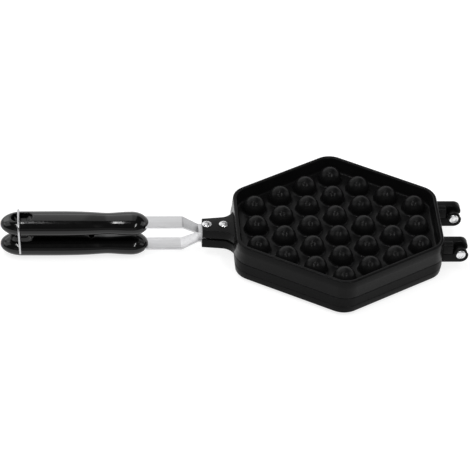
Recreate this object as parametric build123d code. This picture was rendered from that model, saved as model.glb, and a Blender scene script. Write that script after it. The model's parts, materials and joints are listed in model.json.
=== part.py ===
"""Egg waffle pan: two hinged six-sided halves with ball-shaped cavities, on two handles.

Frame: +X runs from the handles to the hinge, +Y across, +Z up. While it is built, the origin is
the pan's centre on the parting plane. The finished pieces are moved so that the origin is the
middle of the whole pan's footprint, on the surface that it rests on.
"""

from build123d import *
import math
import os

COS30 = math.cos(math.radians(30))

# ---------------------------------------------------------------- fits and gaps
parting_gap = 0.3            # between the closed halves
moving_gap = 0.3             # beside and around parts that turn past each other
running_fit = 0.06           # radial, pin in a bore that turns
screw_fit = 0.05             # radial, screw in its nut or thread
seat_fit = 0.02              # radial, rivet in the half that holds it
tang_fit = 0.05              # all round a strip's tang in its handle

# ---------------------------------------------------------------- egg cavities
egg_pitch = 30.5             # centre to centre along a column
middle_column_eggs = 6
side_columns = 3             # each side of the middle column
egg_radius = 9.0
egg_wall = 2.3
egg_height = 6.23            # of the ball's centre over the cooking face
mouth_flare = 1.4            # how much wider the mouth is than the ball
mouth_round = 0.8
foot_round = 2.0             # where the outside of a dome meets the floor

# ---------------------------------------------------------------- pan walls
recess_depth = 1.5           # cooking face below the closing land
recess_margin = 3.1          # beyond the outermost mouths
web_thickness = 2.55
rim_width = 3.7
rim_over_dome = 0.32
side_wall_gap = 5.55         # dome to the rim's inner edge, sloped sides
end_wall_gap = 6.75          # the same, at the flat ends
corner_radius = 20.0         # of the rim's outline
wall_flare = 1.5             # how much further out the parting edge is than the rim
band_height = 8.0            # rim band on top of the wall
band_step = 0.4
pocket_draft = 3.0           # degrees
pocket_round = 2.5
rim_round = 1.2

# ---------------------------------------------------------------- handle lug
lug_reach = 30.1             # beyond the parting edge
lug_end_half_width = 9.1
lug_neck_half_width = 11.2
lug_neck_reach = 10.5        # where the sides begin to flare
lug_flare_radius = 13.8
lug_flare_turn = 70.0        # degrees
lug_parting_clearance = 1.2  # from the parting plane
lug_top = 10.8
lug_round = 0.8
channel_side_gap = 0.3       # each side of the strip
channel_past_strip = 0.5

# ---------------------------------------------------------------- strips
strip_thickness = 2.0
strip_width = 17.0
strip_lug_width = 13.5
strip_lug_z = 5.25           # mid height in the lug
strip_in_lug = 27.6
strip_straight = 4.2         # straight past the lug before the bend
strip_slope_run = 15.2
strip_show = 32.7            # straight from the upper bend to the handle's nose
strip_tang = 73.3            # inside the handle
strip_bend_radius = 4.0
strip_corner = 2.0

# ---------------------------------------------------------------- lug screws and nuts
lug_screw_radius = 2.5
lug_screw_head_radius = 4.7
lug_screw_head_height = 2.2
lug_screw_end_margin = 4.5   # first screw from the lug's end
lug_screw_spacing = 16.65
lug_hole_clearance = 0.15
lug_nut_flats = 8.0
lug_nut_height = 2.7
screw_past_nut = 0.3
screw_head_edge = 0.6        # upright edge under a head's dome
recess_slot_width = 1.2
recess_slot_depth = 1.1
recess_reach_share = 0.55    # half length of a slot, as a share of the head's radius

# ---------------------------------------------------------------- handles
handle_length = 144.0
handle_half_width = 14.8
handle_half_height = 9.9
handle_gap = 5.0             # between the two handles
tang_offset = 1.1            # tang over the handle's own middle
knob_length = 21.7           # rounded end
knob_drop = 0.1              # how far the knob's half width is under the widest one
nose_length = 16.3
waist_half_width = 12.64
bulge_half_width = 14.04
widest_share = 0.30          # widest place, as a share of the way from knob to bulge
taper_share = 0.56           # where the grip has begun to draw in
taper_drop = 0.6             # how far its half width is then under the widest one
slope_share = 0.67           # on the way in to the waist
slope_hollow = 0.3           # how far it is there under the mean of both
waist_share = 0.78
swell_share = 0.89           # on the way out to the bulge
swell_fullness = 0.15        # how far it is there over the mean of both
hole_length = 20.4           # hanging hole, along the handle
hole_width = 12.2
hole_end_margin = 10.7       # from the handle's end
hole_round = 1.5

# ---------------------------------------------------------------- handle screws
handle_screw_radius = 1.5
handle_screw_head_radius = 2.6
handle_screw_head_height = 2.0
handle_screw_from_nose = 55.3
handle_screw_seat = 3.0      # from the seat up to the tang
handle_screw_grip = 3.0      # past the tang
counterbore_clearance = 0.2

# ---------------------------------------------------------------- lock bail
bail_wire_radius = 1.0
bail_from_end = 19.3         # pivot from the handle's end
bail_side_gap = 0.7          # leg to the handle's widest side
bail_pin_length = 6.0
bail_bend_radius = 1.8
bail_arch_radius = 12.0
saddle_depth = 1.0           # cut into the upper handle's top for the wire
saddle_shoulder = 0.6        # shoulder behind the pivot

# ---------------------------------------------------------------- hinge
hinge_reach = 16.4           # axis beyond the parting edge
ear_height = 9.9             # from the axis to an ear's flat top
ear_reach = 7.8              # from the axis to an ear's end
ear_corner = 7.5             # rounded corner between them
ear_turn_radius = 6.7        # the ear's other side, round about the pin
knuckle_radius = 5.0
lobe_centre_y = 27.25
lobe_offset_y = 1.5          # both lobes stand this much to the rear
front_ear = 3.0
knuckle = 4.6
rear_ear = 8.0
ear_round = 0.8
bridge_past_block = 0.6
rivet_radius = 2.5
rivet_head_radius = 4.8
rivet_head_height = 1.4
washer_radius = 5.0
washer_thickness = 0.8
rivet_tail_radius = 4.0
rivet_tail_height = 1.5
rivet_head_edge = 0.3

# ---------------------------------------------------------------- worked out: pan
half_gap = parting_gap / 2
column_step = egg_pitch * COS30
dome_radius = egg_radius + egg_wall
mouth_radius = egg_radius + mouth_flare
lattice_side = (middle_column_eggs - 1) / 2 * egg_pitch * COS30
lattice_end = side_columns * column_step
rim_side = lattice_side + dome_radius + side_wall_gap + rim_width
rim_end = lattice_end + dome_radius + end_wall_gap + rim_width
base_side = rim_side + wall_flare
base_end = rim_end + wall_flare
face_z = half_gap + recess_depth
floor_z = face_z + web_thickness
egg_z = face_z + egg_height
rim_z = egg_z + dome_radius + rim_over_dome
root_x = base_end - rim_width        # middle of the wall, where lug and hinge are rooted

# ---------------------------------------------------------------- worked out: along the handles
lug_end_x = -(base_end + lug_reach)
lug_neck_x = -(base_end + lug_neck_reach)
strip_start_x = lug_end_x + strip_in_lug
lower_bend_x = lug_end_x - strip_straight
upper_bend_x = lower_bend_x - strip_slope_run
nose_x = upper_bend_x - strip_show
tang_end_x = nose_x - strip_tang
handle_end_x = nose_x - handle_length
handle_z = handle_gap / 2 + handle_half_height
tang_z = handle_z + tang_offset
strip_under_z = strip_lug_z - strip_thickness / 2
strip_over_z = strip_lug_z + strip_thickness / 2
lug_screw_xs = (lug_end_x + lug_screw_end_margin, lug_end_x + lug_screw_end_margin + lug_screw_spacing)
handle_screw_x = nose_x - handle_screw_from_nose
handle_screw_seat_z = tang_z - strip_thickness / 2 - handle_screw_seat
handle_screw_tip_z = tang_z + strip_thickness / 2 + handle_screw_grip

# ---------------------------------------------------------------- worked out: bail
pivot_x = handle_end_x + bail_from_end
pivot_z = -handle_z
leg_y = handle_half_width + bail_side_gap + bail_wire_radius
saddle_radius = handle_z + handle_half_height - saddle_depth - pivot_z
arch_height = saddle_radius + moving_gap + bail_wire_radius
shoulder_x = pivot_x - saddle_shoulder
wire_x = shoulder_x - moving_gap - bail_wire_radius
bail_lean = math.degrees(math.asin((pivot_x - wire_x) / arch_height))

# ---------------------------------------------------------------- worked out: hinge
hinge_x = base_end + hinge_reach
block_end_x = hinge_x - ear_reach - moving_gap
bridge_end_x = block_end_x + bridge_past_block
lobe_width = front_ear + knuckle + moving_gap + rear_ear
lobe_starts = [side * lobe_centre_y + lobe_offset_y - lobe_width / 2 for side in (-1, 1)]


# ================================================================ small helpers
def block(x_range, y_range, z_range):
    """Box between two corners."""
    size = [high - low for low, high in (x_range, y_range, z_range)]
    middle = [(high + low) / 2 for low, high in (x_range, y_range, z_range)]
    return Pos(*middle) * Box(*size)


def rod(radius, start, end):
    """Cylinder along Z from one height to another."""
    return Pos(0, 0, start) * Cylinder(radius, end - start, align=(Align.CENTER, Align.CENTER, Align.MIN))


def cross_rod(radius, x, z, y_range):
    """Cylinder along Y between two places."""
    low, high = y_range
    return Pos(x, (low + high) / 2, z) * Rot(90, 0, 0) * Cylinder(radius, high - low)


def domed_head(radius, height, edge):
    """Round head that stands on z = 0, upright for a short edge and domed above it."""
    rise = height - edge
    ball_radius = (radius ** 2 + rise ** 2) / (2 * rise)
    return rod(radius, 0, height) & (Pos(0, 0, height - ball_radius) * Sphere(ball_radius))


def below(shape):
    """The same piece of the lower half."""
    return mirror(shape, about=Plane.XY)


# ================================================================ pan halves
def hexagon(side, end, corner):
    """Six-sided outline with flat ends across X, corners on Y, and rounded corners."""
    end_corner_y = (side - end / 2) / COS30
    tip_y = side / COS30
    outline = Polygon(
        (end, end_corner_y), (0, tip_y), (-end, end_corner_y),
        (-end, -end_corner_y), (0, -tip_y), (end, -end_corner_y),
    )
    return fillet(outline.vertices(), corner)


def egg_places():
    """Centres of the eggs: columns across X, each shorter by one egg away from the middle."""
    places = []
    for column in range(-side_columns, side_columns + 1):
        eggs = middle_column_eggs - abs(column)
        for row in range(eggs):
            places.append((column * column_step, (row - (eggs - 1) / 2) * egg_pitch))
    return places


def pan_shell():
    """Outer wall, rim and floor, without eggs."""
    band_z = rim_z - band_height
    draft = wall_flare / (rim_z - half_gap)
    band_inset = (band_z - half_gap) * draft
    wall_inset = band_inset + band_step
    wall_height = band_z - half_gap
    wall_taper = math.degrees(math.atan(wall_inset / wall_height))
    base_corner = corner_radius + wall_flare
    base = Pos(0, 0, half_gap) * hexagon(base_side, base_end, base_corner)
    wall = extrude(base, wall_height, taper=wall_taper)
    band_outline = hexagon(base_side - band_inset, base_end - band_inset, base_corner - band_inset)
    band = extrude(Pos(0, 0, band_z) * band_outline, band_height, taper=math.degrees(math.atan(draft)))
    shell = wall + band

    over = 1.0
    widen = over * math.tan(math.radians(pocket_draft))
    pocket_side = rim_side - rim_width + widen
    pocket_end = rim_end - rim_width + widen
    mouth = hexagon(pocket_side, pocket_end, corner_radius - rim_width + widen)
    mouth = Pos(0, 0, rim_z + over) * mouth
    pocket = extrude(mouth, rim_z + over - floor_z, dir=(0, 0, -1), taper=pocket_draft)
    pocket = fillet(pocket.faces().sort_by(Axis.Z)[0].edges(), pocket_round)
    shell -= pocket

    rim_edges = shell.edges().filter_by_position(Axis.Z, rim_z - 0.01, rim_z + 0.01)
    return fillet(rim_edges, rim_round)


def dome():
    """Outside of one egg, rooted in the web, with a rounded foot."""
    root_z = floor_z - web_thickness / 2
    foot_z = floor_z + 0.97 * foot_round
    foot_low_z = foot_z - foot_round
    foot_edge = dome_radius + foot_round
    profile = Line((0, root_z), (foot_edge, root_z))
    profile += Line((foot_edge, root_z), (foot_edge, foot_low_z))
    profile += RadiusArc((foot_edge, foot_low_z), (dome_radius, foot_z), foot_round)
    profile += Line((dome_radius, foot_z), (dome_radius, egg_z))
    profile += CenterArc((0, egg_z), dome_radius, 0, 90)
    profile += Line((0, egg_z + dome_radius), (0, root_z))
    return revolve(Plane.XZ * make_face(profile), Axis.Z)


def cavity():
    """Inside of one egg: a ball over a neck that widens to the mouth."""
    start_z = face_z - recess_depth / 2
    profile = Line((0, start_z), (mouth_radius, start_z))
    profile += Line((mouth_radius, start_z), (mouth_radius, face_z))
    profile += Line((mouth_radius, face_z), (egg_radius, egg_z))
    profile += CenterArc((0, egg_z), egg_radius, 0, 90)
    profile += Line((0, egg_z + egg_radius), (0, start_z))
    return revolve(Plane.XZ * make_face(profile), Axis.Z)


def lug():
    """Block beyond the end wall that takes the strip, with its channel and screw holes."""
    neck = (lug_neck_x, lug_neck_half_width)
    end = (lug_end_x, lug_end_half_width)
    along = (neck[0] - end[0], neck[1] - end[1])
    flare = JernArc(neck, tangent=along, radius=lug_flare_radius, arc_size=lug_flare_turn)
    flare_end = flare @ 1
    root = -root_x
    side = Line((lug_end_x, 0), end) + Line(end, neck) + flare
    side += Line((flare_end.X, flare_end.Y), (root, flare_end.Y))
    side += Line((root, flare_end.Y), (root, 0)) + Line((root, 0), (lug_end_x, 0))
    half = make_face(side)
    plan = half + mirror(half, about=Plane.XZ)
    body = extrude(Pos(0, 0, lug_parting_clearance) * plan, lug_top - lug_parting_clearance)
    top_edges = body.faces().sort_by(Axis.Z)[-1].edges()
    end_edges = body.edges().filter_by(Axis.Z).group_by(Axis.X)[0]
    body = fillet(top_edges.filter_by_position(Axis.X, 2 * lug_end_x, root - 0.01) + end_edges, lug_round)
    half_channel = strip_lug_width / 2 + channel_side_gap
    body -= block(
        (lug_end_x - 1, strip_start_x + channel_past_strip), (-half_channel, half_channel), (0, strip_over_z)
    )
    for x in lug_screw_xs:
        body -= Pos(x, 0, 0) * rod(lug_screw_radius + lug_hole_clearance, 0, lug_top + 1)
    return body


def pan_half():
    """Everything that both halves share, as the upper half."""
    places = Locations(*[(x, y, 0) for x, y in egg_places()]).locations
    domes = [place * dome() for place in places]
    cavities = [place * cavity() for place in places]
    recess_outline = hexagon(
        lattice_side + mouth_radius + recess_margin,
        lattice_end + mouth_radius + recess_margin,
        corner_radius,
    )
    recess = extrude(recess_outline, face_z)
    body = pan_shell() + lug() + domes
    body -= recess
    body -= cavities
    mouths = [
        edge
        for edge in body.edges().filter_by(GeomType.CIRCLE)
        if abs(edge.radius - mouth_radius) < 0.001 and abs(edge.center().Z - face_z) < 0.001
    ]
    return fillet(mouths, mouth_round)


# ================================================================ hinge
def upper_ear(y_range, outer_y):
    """Ear of the upper half: squarish on its own side, round about the pin below the parting plane."""
    arm = block((root_x, hinge_x + ear_reach), y_range, (half_gap, ear_height))
    far_edges = arm.edges().filter_by(Axis.Y).group_by(Axis.X)[-1]
    arm = fillet(far_edges.sort_by(Axis.Z)[-1], ear_corner)
    disc = cross_rod(ear_turn_radius, hinge_x, 0, y_range)
    rim = disc.edges().filter_by(GeomType.CIRCLE).sort_by_distance((hinge_x, outer_y, ear_turn_radius))[0]
    outline = [
        edge
        for edge in arm.edges().filter_by_position(Axis.Y, outer_y - 0.01, outer_y + 0.01)
        if edge.center().X > root_x + 0.01 and edge.center().Z > half_gap + 0.01
    ]
    return fillet(outline, ear_round) + fillet(rim, ear_round)


def lobe_marks(start):
    """Places along Y where one hinge lobe's pieces begin and end."""
    ear_end = start + front_ear
    knuckle_end = ear_end + knuckle
    rear_start = knuckle_end + moving_gap
    return ear_end, knuckle_end, rear_start, rear_start + rear_ear


def upper_lobe(start):
    """Rear ear, with the bridge over the knuckle and the block above the front ear's web."""
    ear_end, _, rear_start, end = lobe_marks(start)
    height = (half_gap, ear_height)
    bridge = block((root_x, bridge_end_x), (ear_end + moving_gap, rear_start), height)
    front = block((root_x, block_end_x), (start, ear_end + moving_gap), height)
    return upper_ear((rear_start, end), end) + bridge + front


def lower_lobe(start):
    """Front ear and knuckle, with the block under the rear ear's web."""
    ear_end, knuckle_end, _, end = lobe_marks(start)
    depth = (-ear_height, -half_gap)
    middle = cross_rod(knuckle_radius, hinge_x, 0, (ear_end, knuckle_end))
    middle += block((root_x, hinge_x), (ear_end, knuckle_end), (-knuckle_radius, -half_gap))
    middle += block((root_x, bridge_end_x), (ear_end, knuckle_end), depth)
    rear = block((root_x, block_end_x), (knuckle_end, end), depth)
    return below(upper_ear((start, ear_end), start)) + middle + rear


def rivet(start):
    """Shaft with a domed head in front of the lobe and a formed end behind the washer."""
    _, _, _, end = lobe_marks(start)
    washer_y = end + moving_gap
    tail_y = washer_y + washer_thickness
    shaft = cross_rod(rivet_radius, hinge_x, 0, (start, tail_y))
    head = domed_head(rivet_head_radius, rivet_head_height, rivet_head_edge)
    tail = domed_head(rivet_tail_radius, rivet_tail_height, rivet_head_edge)
    head = Pos(hinge_x, start, 0) * Rot(90, 0, 0) * head
    tail = Pos(hinge_x, tail_y, 0) * Rot(-90, 0, 0) * tail
    return shaft + head + tail


def rivet_washer(start):
    """Flat washer under the rivet's formed end."""
    _, _, _, end = lobe_marks(start)
    span = (end + moving_gap, end + moving_gap + washer_thickness)
    return cross_rod(washer_radius, hinge_x, 0, span) - cross_rod(rivet_radius + seat_fit, hinge_x, 0, span)


def upper_pan_body():
    """Upper half with its ears, bored to turn on the rivets."""
    body = pan_half() + [upper_lobe(start) for start in lobe_starts]
    for start in lobe_starts:
        _, _, rear_start, end = lobe_marks(start)
        body -= cross_rod(rivet_radius + running_fit, hinge_x, 0, (rear_start - 0.1, end + 0.1))
    return body


def lower_pan_body():
    """Lower half with its ears and knuckles, bored to hold the rivets."""
    body = below(pan_half()) + [lower_lobe(start) for start in lobe_starts]
    for start in lobe_starts:
        _, knuckle_end, _, _ = lobe_marks(start)
        body -= cross_rod(rivet_radius + seat_fit, hinge_x, 0, (start - 0.1, knuckle_end + 0.1))
    return body


# ================================================================ strips
def strip():
    """Bent steel strip from the upper lug into the upper handle."""
    middle_line = FilletPolyline(
        (strip_start_x, strip_lug_z), (lower_bend_x, strip_lug_z),
        (upper_bend_x, tang_z), (tang_end_x, tang_z),
        radius=strip_bend_radius,
    )
    side_view = Plane.XZ * trace(middle_line, strip_thickness)
    body = extrude(side_view, strip_width, both=True)
    wide = strip_width / 2
    narrow = strip_lug_width / 2
    plan = Polygon(
        (tang_end_x, -wide), (upper_bend_x, -wide), (lower_bend_x, -narrow), (strip_start_x, -narrow),
        (strip_start_x, narrow), (lower_bend_x, narrow), (upper_bend_x, wide), (tang_end_x, wide),
    )
    ends = plan.vertices().group_by(Axis.X)
    plan = fillet(ends[0] + ends[-1], strip_corner)
    body &= extrude(plan, tang_z + strip_width)
    for x in lug_screw_xs:
        body -= Pos(x, 0, 0) * rod(lug_screw_radius + lug_hole_clearance, 0, lug_top)
    body -= Pos(handle_screw_x, 0, 0) * rod(handle_screw_radius + screw_fit, 0, handle_z + handle_half_height)
    return body


# ================================================================ handles
def handle_blank():
    """Moulded grip: round knob end, waist and nose, turned and then flattened to an oval."""
    knob_x = handle_end_x + knob_length
    bulge_x = nose_x - nose_length
    grip = bulge_x - knob_x
    knob_half_width = handle_half_width - knob_drop
    stations = [
        (knob_x, knob_half_width),
        (knob_x + widest_share * grip, handle_half_width),
        (knob_x + taper_share * grip, handle_half_width - taper_drop),
        (knob_x + slope_share * grip, (handle_half_width + waist_half_width) / 2 - slope_hollow),
        (knob_x + waist_share * grip, waist_half_width),
        (knob_x + swell_share * grip, (waist_half_width + bulge_half_width) / 2 + swell_fullness),
        (bulge_x, bulge_half_width),
    ]
    knob = EllipticalCenterArc((knob_x, 0), knob_length, knob_half_width, 180, arc_size=-90)
    side = Spline(*stations, tangents=[(1, 0), (1, 0)])
    nose = EllipticalCenterArc((bulge_x, 0), nose_length, bulge_half_width, 90, arc_size=-90)
    profile = knob + side + nose + Line((nose_x, 0), (handle_end_x, 0))
    blank = revolve(make_face(profile), Axis.X)
    blank = scale(blank, by=(1, 1, handle_half_height / handle_half_width))
    return Pos(0, 0, handle_z) * blank


def holed_blank():
    """Grip with the hanging hole through its knob end, and the hole's rounded edges."""
    hole_start = handle_end_x + hole_end_margin
    hole_end = hole_start + hole_length
    slot = Pos((hole_start + hole_end) / 2, 0, 0) * SlotOverall(hole_length, hole_width)
    body = handle_blank() - extrude(slot, handle_z + 2 * handle_half_height)
    edges = body.edges().filter_by_position(Axis.X, hole_start - 0.1, hole_end + 0.1)
    return fillet([edge for edge in edges if edge.bounding_box().size.Z < handle_half_height], hole_round)


def plain_handle():
    """Upper handle as moulded, with its hanging hole, tang slot and screw hole."""
    body = holed_blank()
    wide = strip_width / 2 + tang_fit
    low = tang_z - strip_thickness / 2 - tang_fit
    high = tang_z + strip_thickness / 2 + tang_fit
    body -= block((tang_end_x - tang_fit, nose_x + 1), (-wide, wide), (low, high))
    screw_hole = rod(handle_screw_head_radius + counterbore_clearance, 0, handle_screw_seat_z)
    screw_hole += rod(handle_screw_radius + screw_fit, 0, handle_screw_tip_z + screw_fit)
    return body - Pos(handle_screw_x, 0, 0) * screw_hole


def upper_handle_body():
    """Upper handle, with the saddle that the bail's wire rests in."""
    top = handle_z + handle_half_height + 1
    span = (-handle_half_width, handle_half_width)
    saddle = block((handle_end_x - 1, shoulder_x), span, (pivot_z, top))
    saddle -= cross_rod(saddle_radius, pivot_x, pivot_z, (-2 * leg_y, 2 * leg_y))
    return plain_handle() - saddle


def lower_handle_body():
    """Lower handle, with the two blind holes that the bail's ends turn in."""
    body = below(plain_handle())
    pin_end = leg_y - bail_pin_length - 2 * moving_gap
    for side in (-1, 1):
        span = sorted((side * pin_end, side * (leg_y + 1)))
        body -= cross_rod(bail_wire_radius + running_fit, pivot_x, pivot_z, span)
    return body


def bail():
    """Wire bail: turned-in ends, two legs and a rounded arch over both handles."""
    pin_end = leg_y - bail_pin_length
    path = FilletPolyline(
        (0, -pin_end, 0), (0, -leg_y, 0), (0, -leg_y, arch_height),
        (0, leg_y, arch_height), (0, leg_y, 0), (0, pin_end, 0),
        radius=[bail_bend_radius, bail_arch_radius, bail_arch_radius, bail_bend_radius],
    )
    start = Plane(origin=(0, -pin_end, 0), z_dir=(0, -1, 0))
    wire = sweep(start * Circle(bail_wire_radius), path=path)
    return Pos(pivot_x, 0, pivot_z) * Rot(0, -bail_lean, 0) * wire


# ================================================================ screws and nuts
def cross_recess(radius, top):
    """Cross-shaped driver recess, as the shape that is cut from a head."""
    long = (-recess_reach_share * radius, recess_reach_share * radius)
    short = (-recess_slot_width / 2, recess_slot_width / 2)
    depth = (top - recess_slot_depth, top + 1)
    return block(long, short, depth) + block(short, long, depth)


def lug_screw(x):
    """Screw with a domed cross-recess head on the lug, down through the strip and the nut."""
    tip_z = strip_under_z - lug_nut_height - screw_past_nut
    head = domed_head(lug_screw_head_radius, lug_screw_head_height, screw_head_edge)
    head -= cross_recess(lug_screw_head_radius, lug_screw_head_height)
    return Pos(x, 0, 0) * (rod(lug_screw_radius, tip_z, lug_top) + Pos(0, 0, lug_top) * head)


def lug_nut(x):
    """Hexagon nut under the strip."""
    hexagon_face = RegularPolygon(lug_nut_flats / 2, 6, major_radius=False)
    body = extrude(hexagon_face, lug_nut_height) - rod(lug_screw_radius + screw_fit, 0, lug_nut_height)
    return Pos(x, 0, strip_under_z - lug_nut_height) * body


def handle_screw():
    """Screw in the upper handle's inner face, through the tang."""
    head = domed_head(handle_screw_head_radius, handle_screw_head_height, screw_head_edge)
    head -= cross_recess(handle_screw_head_radius, handle_screw_head_height)
    head = Pos(0, 0, handle_screw_seat_z) * Rot(180, 0, 0) * head
    shaft = rod(handle_screw_radius, handle_screw_seat_z, handle_screw_tip_z)
    return Pos(handle_screw_x, 0, 0) * (head + shaft)


# ================================================================ the whole pan
def all_pieces():
    """Every piece by its name."""
    pieces = {
        "upper_pan": upper_pan_body(),
        "lower_pan": lower_pan_body(),
        "upper_strip": strip(),
        "upper_handle": upper_handle_body(),
        "lower_handle": lower_handle_body(),
        "upper_handle_screw": handle_screw(),
        "lock_bail": bail(),
    }
    for place, x in zip(("outer", "inner"), lug_screw_xs):
        pieces[f"upper_lug_screw_{place}"] = lug_screw(x)
        pieces[f"upper_lug_nut_{place}"] = lug_nut(x)
    for name in list(pieces):
        lower_name = name.replace("upper_", "lower_")
        if lower_name not in pieces:
            pieces[lower_name] = below(pieces[name])
    for place, start in zip(("front", "rear"), lobe_starts):
        pieces[f"{place}_hinge_rivet"] = rivet(start)
        pieces[f"{place}_rivet_washer"] = rivet_washer(start)
    return pieces


os.makedirs("parts", exist_ok=True)
footprint_middle_x = (handle_end_x + hinge_x + ear_reach) / 2
resting_z = -(handle_z + handle_half_height)
to_row_frame = Location((-footprint_middle_x, 0, -resting_z))
print("origin shift", to_row_frame.position)
for piece_name, piece in all_pieces().items():
    export_step(piece.moved(to_row_frame), f"parts/{piece_name}.step")
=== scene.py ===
# %% [markdown]
# # Egg waffle pan
# Two cast halves with ball-shaped cavities close on a hinge. Each half has a lug, a bent steel
# strip and a glossy handle, and a wire bail holds the two handles shut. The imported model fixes
# every size and every joint. This file gives it the surfaces that the eye sees: cleaner meshes
# where light runs over a curve, and a finish for each material.

# %% load the frame
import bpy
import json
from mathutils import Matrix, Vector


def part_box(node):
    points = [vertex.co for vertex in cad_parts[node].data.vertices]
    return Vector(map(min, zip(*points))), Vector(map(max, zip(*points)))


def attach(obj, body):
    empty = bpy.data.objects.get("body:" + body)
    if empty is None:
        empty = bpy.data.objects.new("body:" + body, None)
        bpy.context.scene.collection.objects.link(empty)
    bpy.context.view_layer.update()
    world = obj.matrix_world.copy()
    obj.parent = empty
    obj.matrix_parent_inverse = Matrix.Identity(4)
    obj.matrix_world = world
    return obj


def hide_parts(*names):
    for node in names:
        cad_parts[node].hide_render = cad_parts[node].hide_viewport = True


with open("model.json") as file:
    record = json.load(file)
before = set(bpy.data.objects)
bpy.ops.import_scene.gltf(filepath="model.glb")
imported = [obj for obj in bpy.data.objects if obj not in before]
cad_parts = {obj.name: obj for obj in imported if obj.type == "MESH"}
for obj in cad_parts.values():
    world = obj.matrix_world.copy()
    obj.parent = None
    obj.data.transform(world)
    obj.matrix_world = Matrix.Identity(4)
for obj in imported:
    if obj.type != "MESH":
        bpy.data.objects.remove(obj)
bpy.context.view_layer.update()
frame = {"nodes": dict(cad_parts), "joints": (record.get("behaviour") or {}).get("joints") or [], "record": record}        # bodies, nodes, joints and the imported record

# %% [markdown]
# ## One set of measures
# The pan is drawn in millimetres about its own middle, on the plane where the halves part, because
# a maker thinks of it that way. The hinge joint tells where that middle lies in the frame, and one
# matrix carries every finished mesh there, in metres.

# %% the pan's middle, and the matrix that carries meshes to the frame
import json
import math
import bmesh
import bpy
from mathutils import Matrix, Vector

MM = 0.001
HINGE_X = 118.8913                       # from the pan's middle to the hinge pin
PIVOT = (-309.3913, 0.0, -12.4)          # where the bail's ends turn
joint_place = {joint["name"]: Vector(joint["pos_m"]) for joint in frame["joints"]}
pan_middle = joint_place["lid_hinge"] - Vector((HINGE_X * MM, 0, 0))
TO_FRAME = Matrix.Translation(pan_middle) @ Matrix.Scale(MM, 4)
scene = bpy.context.scene
print("pan middle in the frame, m:", [round(v, 4) for v in pan_middle])

# %% a finished mesh becomes a piece
SHARP = math.radians(32)                 # edges steeper than this stay crisp


def link_piece(name, mesh, material, body, hides):
    """Puts a mesh in the scene as one piece of a body, standing for the nodes that it hides."""
    mesh.materials.clear()
    mesh.materials.append(material)
    piece = bpy.data.objects.new(name, mesh)
    scene.collection.objects.link(piece)
    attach(piece, body)
    if hides:
        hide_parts(*hides)
    print(name, "rides on", body, "with", len(mesh.polygons), "faces")
    return piece


def make_piece(name, bm, material, body, hides=()):
    """Turns millimetre geometry into a piece: joined, facing outward, smooth except at sharp edges."""
    bmesh.ops.remove_doubles(bm, verts=bm.verts, dist=0.002)
    bmesh.ops.recalc_face_normals(bm, faces=bm.faces)
    bm.transform(TO_FRAME)
    for face in bm.faces:
        face.smooth = True
    for edge in bm.edges:
        edge.smooth = len(edge.link_faces) == 2 and edge.calc_face_angle() < SHARP
    mesh = bpy.data.meshes.new(name)
    bm.to_mesh(mesh)
    bm.free()
    return link_piece(name, mesh, material, body, hides)


# %% [markdown]
# ## Camera
# The camera stands where the photograph's camera stood: about two and a half metres off, looking
# down at forty degrees with a long lens, so the far side of the pan is hardly smaller than the
# near side. Three turns are kept as plain angles and made into one matrix.

# %% camera
CAMERA_PLACE = Vector((-308.0, -1945.4, 1638.3))     # from the pan's middle
CAMERA_YAW = math.radians(6.11)
CAMERA_PITCH = math.radians(39.99)
CAMERA_ROLL = math.radians(-3.77)
SENSOR = 36.0
FOCAL_PIXELS = 2607.0
PHOTO_PIXELS = 470.0

forward = Vector((
    math.sin(CAMERA_YAW) * math.cos(CAMERA_PITCH),
    math.cos(CAMERA_YAW) * math.cos(CAMERA_PITCH),
    -math.sin(CAMERA_PITCH),
))
level_right = Vector((math.cos(CAMERA_YAW), -math.sin(CAMERA_YAW), 0))
level_down = forward.cross(level_right)
right = math.cos(CAMERA_ROLL) * level_right + math.sin(CAMERA_ROLL) * level_down
down = math.cos(CAMERA_ROLL) * level_down - math.sin(CAMERA_ROLL) * level_right
camera_data = bpy.data.cameras.new("camera")
camera_data.sensor_width = SENSOR
camera_data.lens = FOCAL_PIXELS / PHOTO_PIXELS * SENSOR
camera_data.clip_end = 50
camera = bpy.data.objects.new("camera", camera_data)
turn = Matrix((right, -down, -forward)).transposed().to_4x4()
camera.matrix_world = Matrix.Translation(TO_FRAME @ CAMERA_PLACE) @ turn
scene.collection.objects.link(camera)
scene.camera = camera
print("lens, mm:", round(camera_data.lens, 1))

# %% [markdown]
# ## Floor, backdrop and light
# Polished black plastic hardly has a colour of its own: what the eye sees on it is the room. So the
# room is built first. A pale floor and a round pale wall stand for the white table and its sweep.
# Large soft panels behind the pan and beside it light it from the back, the ceiling stays dim, and
# two small lamps above the camera put the small bright spots on every dome.

# %% which rays see the background
def background_rays(nodes, links):
    """Value of one for rays that show the background: straight, mirrored and passing through."""
    rays = nodes.new("ShaderNodeLightPath")
    value = rays.outputs["Is Camera Ray"]
    for kind in ("Is Glossy Ray", "Is Transmission Ray"):
        either = nodes.new("ShaderNodeMath")
        either.operation = "MAXIMUM"
        links.new(value, either.inputs[0])
        links.new(rays.outputs[kind], either.inputs[1])
        value = either.outputs[0]
    return value


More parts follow.
